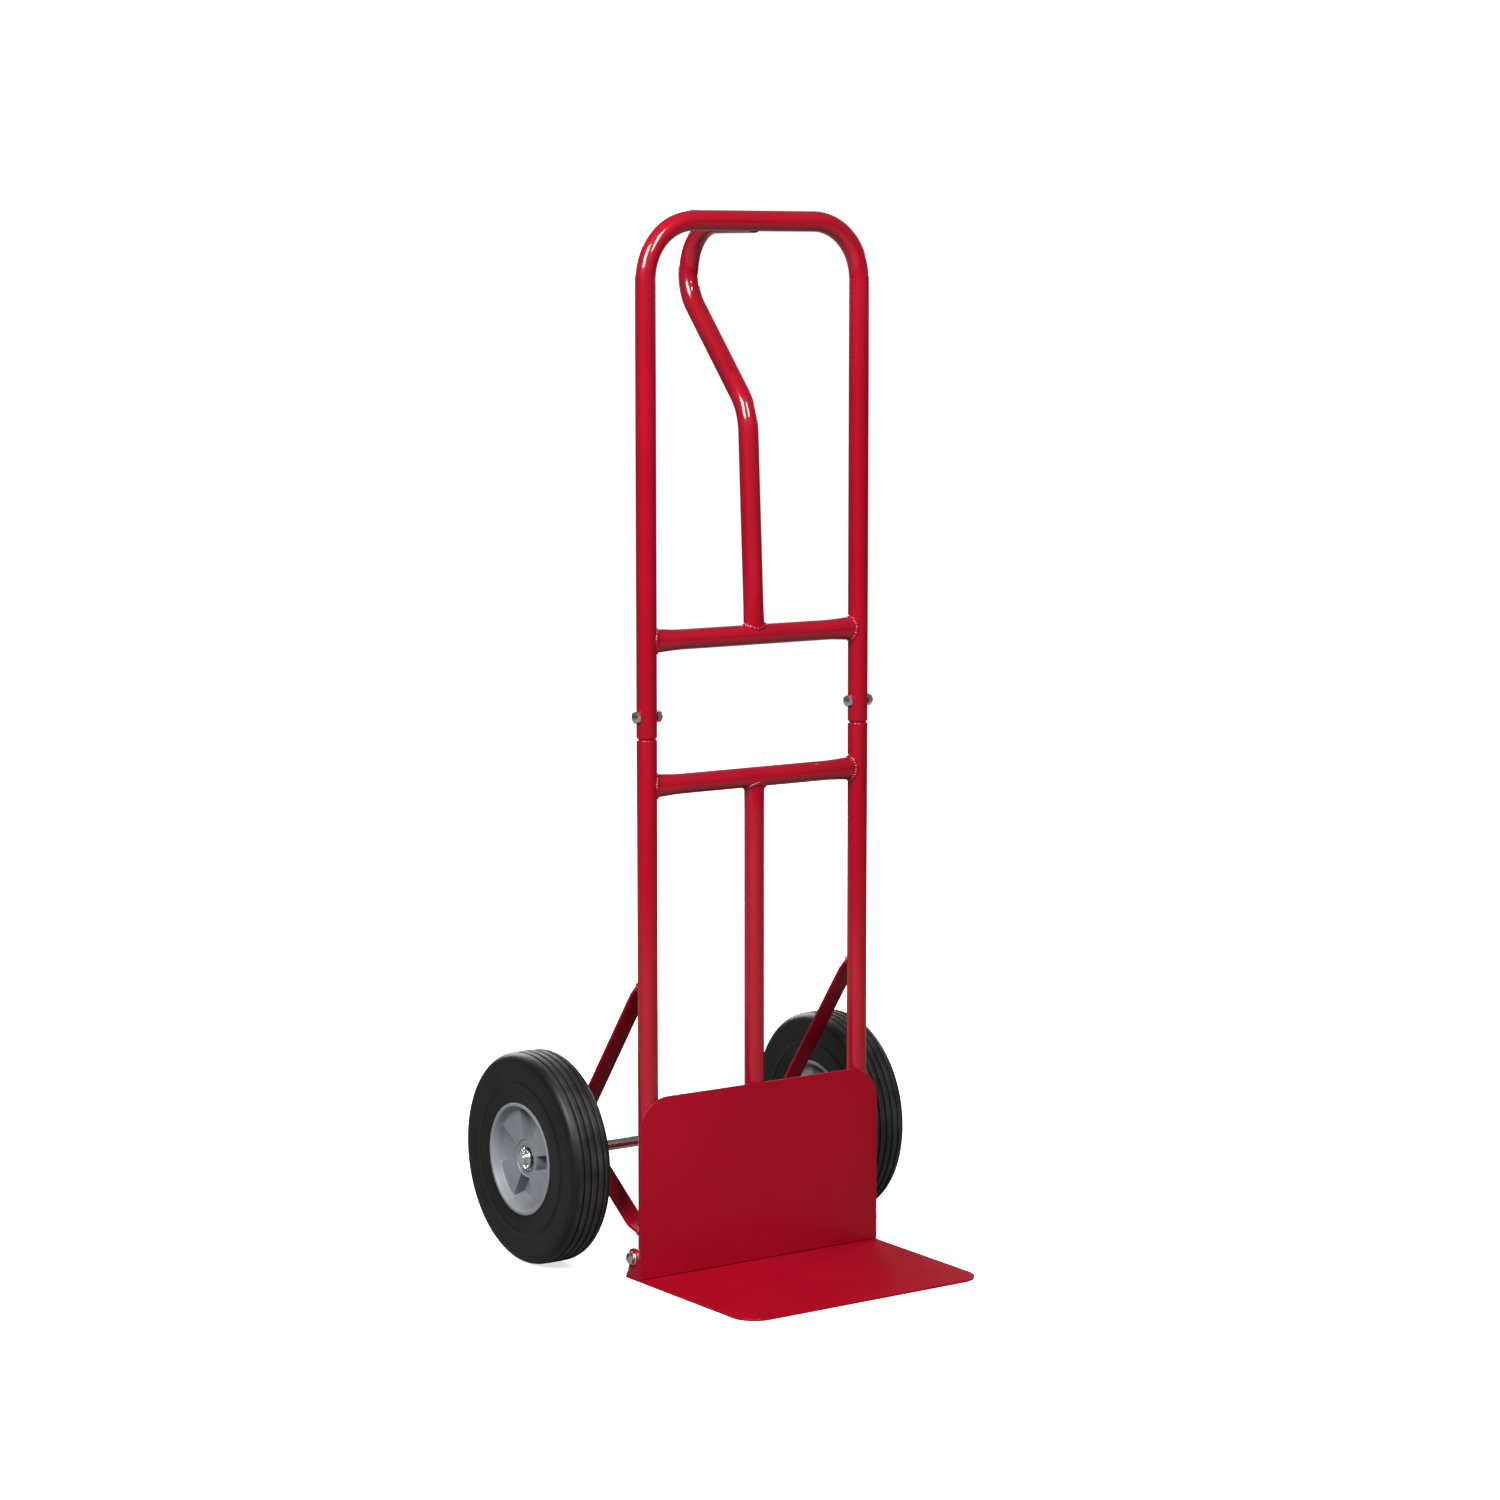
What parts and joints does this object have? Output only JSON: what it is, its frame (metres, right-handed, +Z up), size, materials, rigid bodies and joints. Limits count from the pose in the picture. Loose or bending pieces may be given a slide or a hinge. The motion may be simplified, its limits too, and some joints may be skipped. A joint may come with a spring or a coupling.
{
  "type": "hand truck",
  "caption": "Upright hand truck with a tubular frame, looped rear handle, bent-strap wheel brackets, solid rubber tyres and a flat toe plate.",
  "frame": {"origin": "on the floor, under the middle of the truck's outer box", "axes": "+Z up; +Y from the load towards the user behind the truck; +X to the right of someone who looks along +Y"},
  "size_m": [0.507, 0.5254, 1.3065],
  "materials": {
    "red_powder_coat": "glossy powder coat over steel",
    "zinc_plate": "bright zinc plate",
    "black_rubber": "satin moulded rubber",
    "grey_plastic": "moulded plastic",
    "bearing_steel": "ground bearing steel"
  },
  "bodies": {
    "frame": {"upper_frame": "red_powder_coat", "handle_tube": "red_powder_coat", "upper_crossbar": "red_powder_coat", "lower_crossbar": "red_powder_coat", "left_lower_post": "red_powder_coat", "right_lower_post": "red_powder_coat", "centre_strut": "red_powder_coat", "back_plate": "red_powder_coat", "toe_plate": "red_powder_coat", "left_nose_ear": "red_powder_coat", "right_nose_ear": "red_powder_coat", "left_wheel_bracket": "red_powder_coat", "right_wheel_bracket": "red_powder_coat", "left_axle_sleeve": "red_powder_coat", "right_axle_sleeve": "red_powder_coat", "axle": "zinc_plate", "axle_spacers": "zinc_plate", "axle_end_washers": "zinc_plate", "split_pins": "zinc_plate", "joint_bolts": "zinc_plate", "joint_nuts": "zinc_plate", "nose_bolts": "zinc_plate", "nose_nuts": "zinc_plate", "nose_washers": "zinc_plate", "nose_spacers": "zinc_plate", "left_inner_rings": "bearing_steel", "right_inner_rings": "bearing_steel", "bearing_spacers": "zinc_plate"},
    "left_wheel": {"left_tyre": "black_rubber", "left_hub": "grey_plastic", "left_bearing_cups": "bearing_steel"},
    "right_wheel": {"right_tyre": "black_rubber", "right_hub": "grey_plastic", "right_bearing_cups": "bearing_steel"},
    "left_balls": {"left_bearing_balls": "bearing_steel"},
    "right_balls": {"right_bearing_balls": "bearing_steel"}
  },
  "joints": [
    {"name": "left_wheel_spin", "type": "hinge", "parent": "frame", "child": "left_wheel", "pos_m": [-0.2255, 0.1293, 0.1334], "axis": [1, 0, 0], "continuous": true},
    {"name": "right_wheel_spin", "type": "hinge", "parent": "frame", "child": "right_wheel", "pos_m": [0.2255, 0.1293, 0.1334], "axis": [1, 0, 0], "continuous": true},
    {"name": "left_balls_roll", "type": "hinge", "parent": "frame", "child": "left_balls", "pos_m": [-0.2255, 0.1293, 0.1334], "axis": [1, 0, 0], "continuous": true},
    {"name": "right_balls_roll", "type": "hinge", "parent": "frame", "child": "right_balls", "pos_m": [0.2255, 0.1293, 0.1334], "axis": [1, 0, 0], "continuous": true}
  ],
  "couplings": [
    {"joint": "left_balls_roll", "follows": "left_wheel_spin", "ratio": 0.6},
    {"joint": "right_balls_roll", "follows": "right_wheel_spin", "ratio": 0.6}
  ]
}
